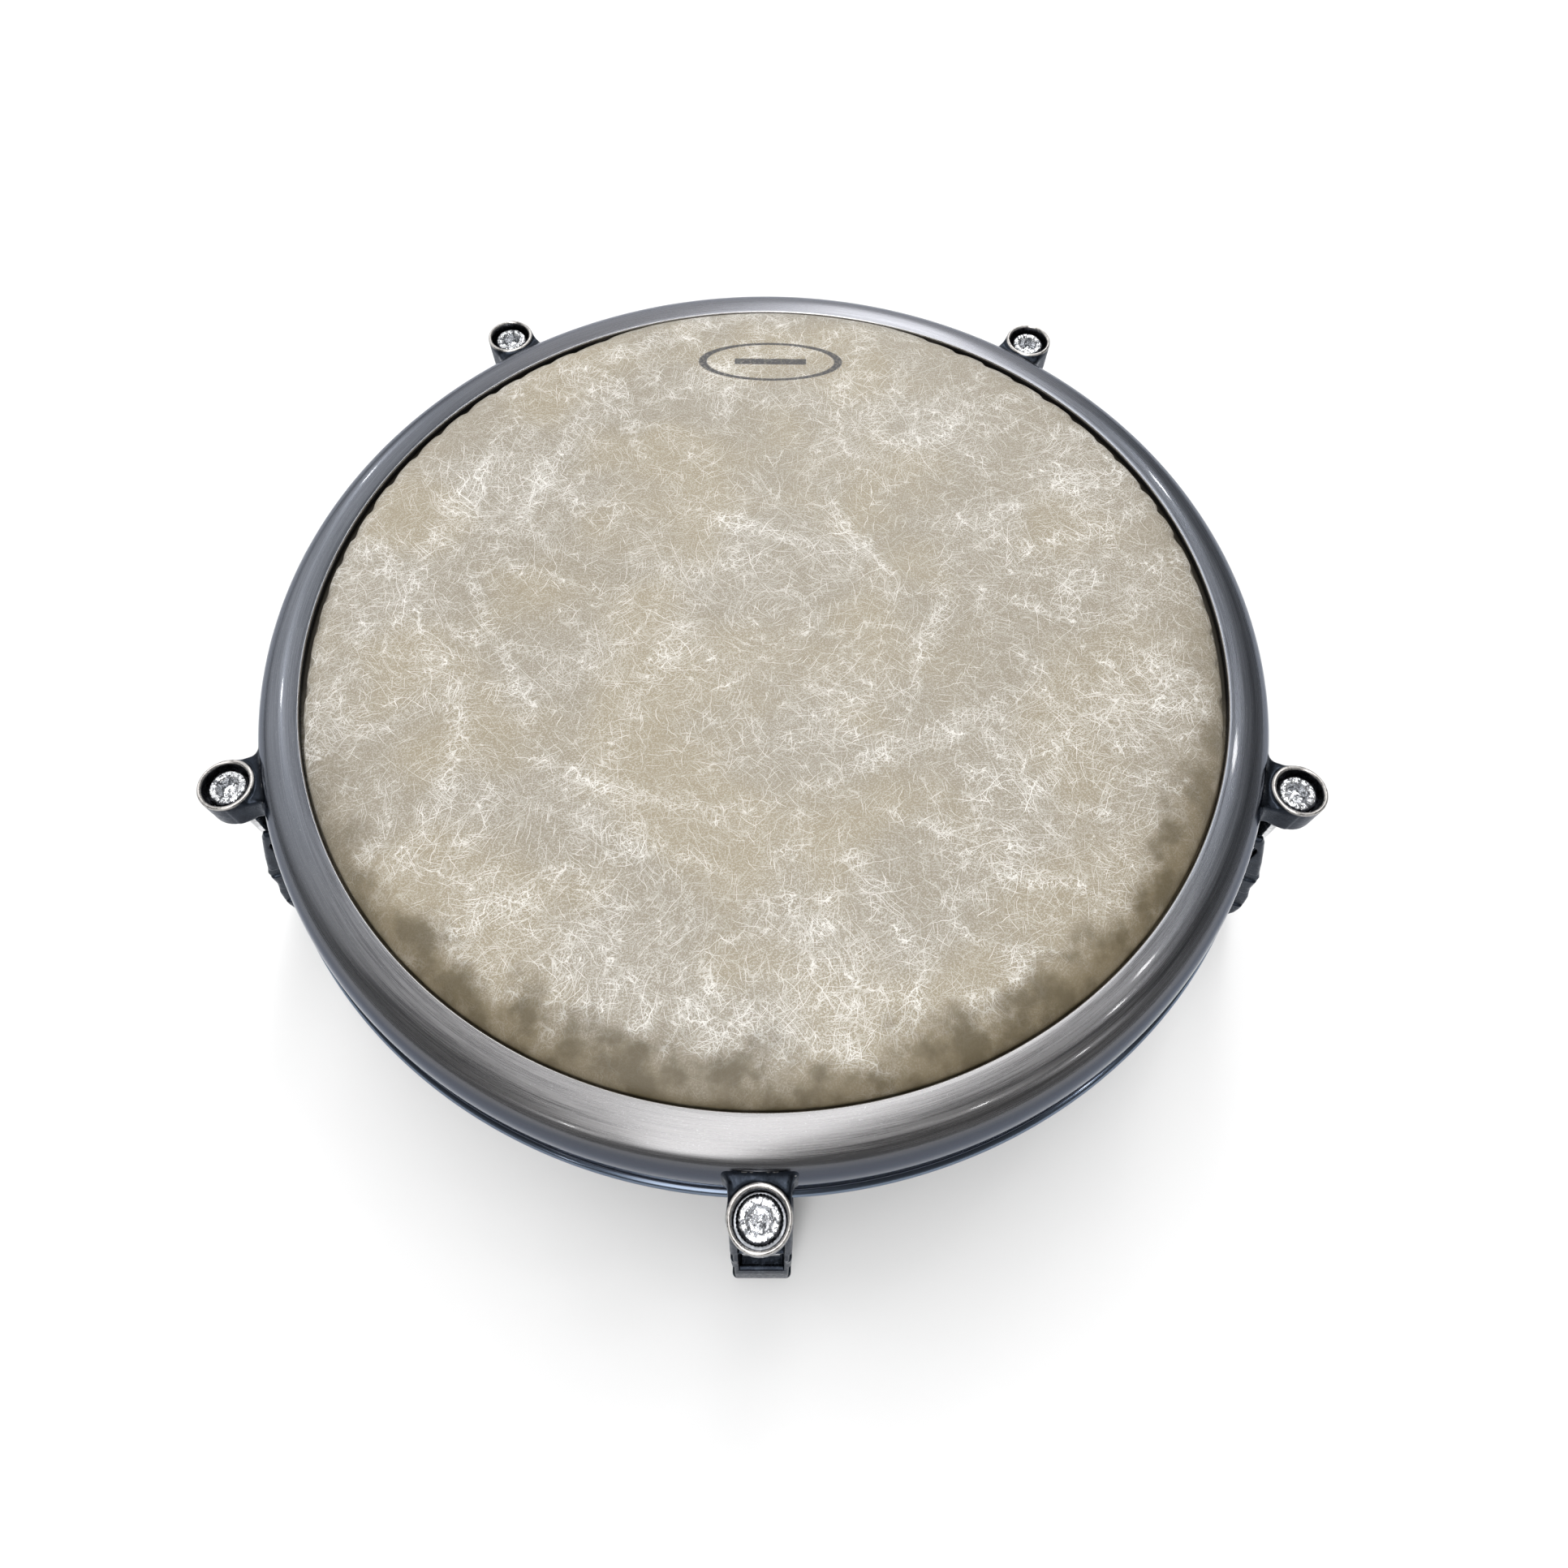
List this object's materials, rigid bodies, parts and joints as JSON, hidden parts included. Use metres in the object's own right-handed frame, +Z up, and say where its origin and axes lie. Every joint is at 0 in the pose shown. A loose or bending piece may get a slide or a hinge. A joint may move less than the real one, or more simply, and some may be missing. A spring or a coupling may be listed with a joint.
{
  "type": "compact hand drum",
  "caption": "Shallow hand drum with a fibre-flecked film head under a crowned brushed metal hoop, tuned by hexagon tension screws in cast ears and brackets.",
  "frame": {"origin": "on the drum's axis, in the plane its foot ring rests on", "axes": "+Z up along the drum's axis; -Y towards the player's side, where lug 1 is; lugs 2 to 5 follow counter-clockwise from above"},
  "size_m": [0.368, 0.362, 0.1085],
  "materials": {
    "shell_lacquer": "gloss black moulded shell",
    "trim_rubber": "matt black rubber",
    "head_film": "satin translucent film with pale fibres bonded in it",
    "plated_steel": "zinc plated",
    "hoop_metal": "dark nickel, brushed around the hoop",
    "cast_metal": "dark nickel plated casting, polished on its worn edges",
    "screw_chrome": "bright chrome"
  },
  "bodies": {
    "root": {"shell": "shell_lacquer", "foot_ring": "trim_rubber", "drum_head": "head_film", "flesh_hoop": "plated_steel", "lug_bracket_1": "cast_metal", "lug_bracket_2": "cast_metal", "lug_bracket_3": "cast_metal", "lug_bracket_4": "cast_metal", "lug_bracket_5": "cast_metal", "lug_gasket_1": "trim_rubber", "lug_gasket_2": "trim_rubber", "lug_gasket_3": "trim_rubber", "lug_gasket_4": "trim_rubber", "lug_gasket_5": "trim_rubber", "lug_nut_1": "plated_steel", "lug_nut_2": "plated_steel", "lug_nut_3": "plated_steel", "lug_nut_4": "plated_steel", "lug_nut_5": "plated_steel", "lug_bolts_1": "plated_steel", "lug_bolts_2": "plated_steel", "lug_bolts_3": "plated_steel", "lug_bolts_4": "plated_steel", "lug_bolts_5": "plated_steel", "bolt_washers_1": "plated_steel", "bolt_washers_2": "plated_steel", "bolt_washers_3": "plated_steel", "bolt_washers_4": "plated_steel", "bolt_washers_5": "plated_steel"},
    "hoop": {"counterhoop": "hoop_metal", "hoop_ear_1": "cast_metal", "hoop_ear_2": "cast_metal", "hoop_ear_3": "cast_metal", "hoop_ear_4": "cast_metal", "hoop_ear_5": "cast_metal", "cup_washer_1": "plated_steel", "cup_washer_2": "plated_steel", "cup_washer_3": "plated_steel", "cup_washer_4": "plated_steel", "cup_washer_5": "plated_steel"},
    "tension_screw_1": {"tension_screw_1": "screw_chrome"},
    "tension_screw_2": {"tension_screw_2": "screw_chrome"},
    "tension_screw_3": {"tension_screw_3": "screw_chrome"},
    "tension_screw_4": {"tension_screw_4": "screw_chrome"},
    "tension_screw_5": {"tension_screw_5": "screw_chrome"}
  },
  "joints": [
    {"name": "hoop_travel", "type": "slide", "parent": "root", "child": "hoop", "axis": [0, 0, 1], "range_m": [0, 0.008]},
    {"name": "screw_turn_1", "type": "hinge", "parent": "hoop", "child": "tension_screw_1", "pos_m": [0, -0.178, 0.09], "axis": [0, 0, 1], "range_deg": [-1, 2881]},
    {"name": "screw_turn_2", "type": "hinge", "parent": "hoop", "child": "tension_screw_2", "pos_m": [0.16929, -0.055, 0.09], "axis": [0, 0, 1], "range_deg": [-1, 2881]},
    {"name": "screw_turn_3", "type": "hinge", "parent": "hoop", "child": "tension_screw_3", "pos_m": [0.10463, 0.144, 0.09], "axis": [0, 0, 1], "range_deg": [-1, 2881]},
    {"name": "screw_turn_4", "type": "hinge", "parent": "hoop", "child": "tension_screw_4", "pos_m": [-0.10463, 0.144, 0.09], "axis": [0, 0, 1], "range_deg": [-1, 2881]},
    {"name": "screw_turn_5", "type": "hinge", "parent": "hoop", "child": "tension_screw_5", "pos_m": [-0.16929, -0.055, 0.09], "axis": [0, 0, 1], "range_deg": [-1, 2881]}
  ],
  "couplings": [
    {"joint": "screw_turn_1", "follows": "hoop_travel", "rad_per_m": 6283.2},
    {"joint": "screw_turn_2", "follows": "hoop_travel", "rad_per_m": 6283.2},
    {"joint": "screw_turn_3", "follows": "hoop_travel", "rad_per_m": 6283.2},
    {"joint": "screw_turn_4", "follows": "hoop_travel", "rad_per_m": 6283.2},
    {"joint": "screw_turn_5", "follows": "hoop_travel", "rad_per_m": 6283.2}
  ]
}
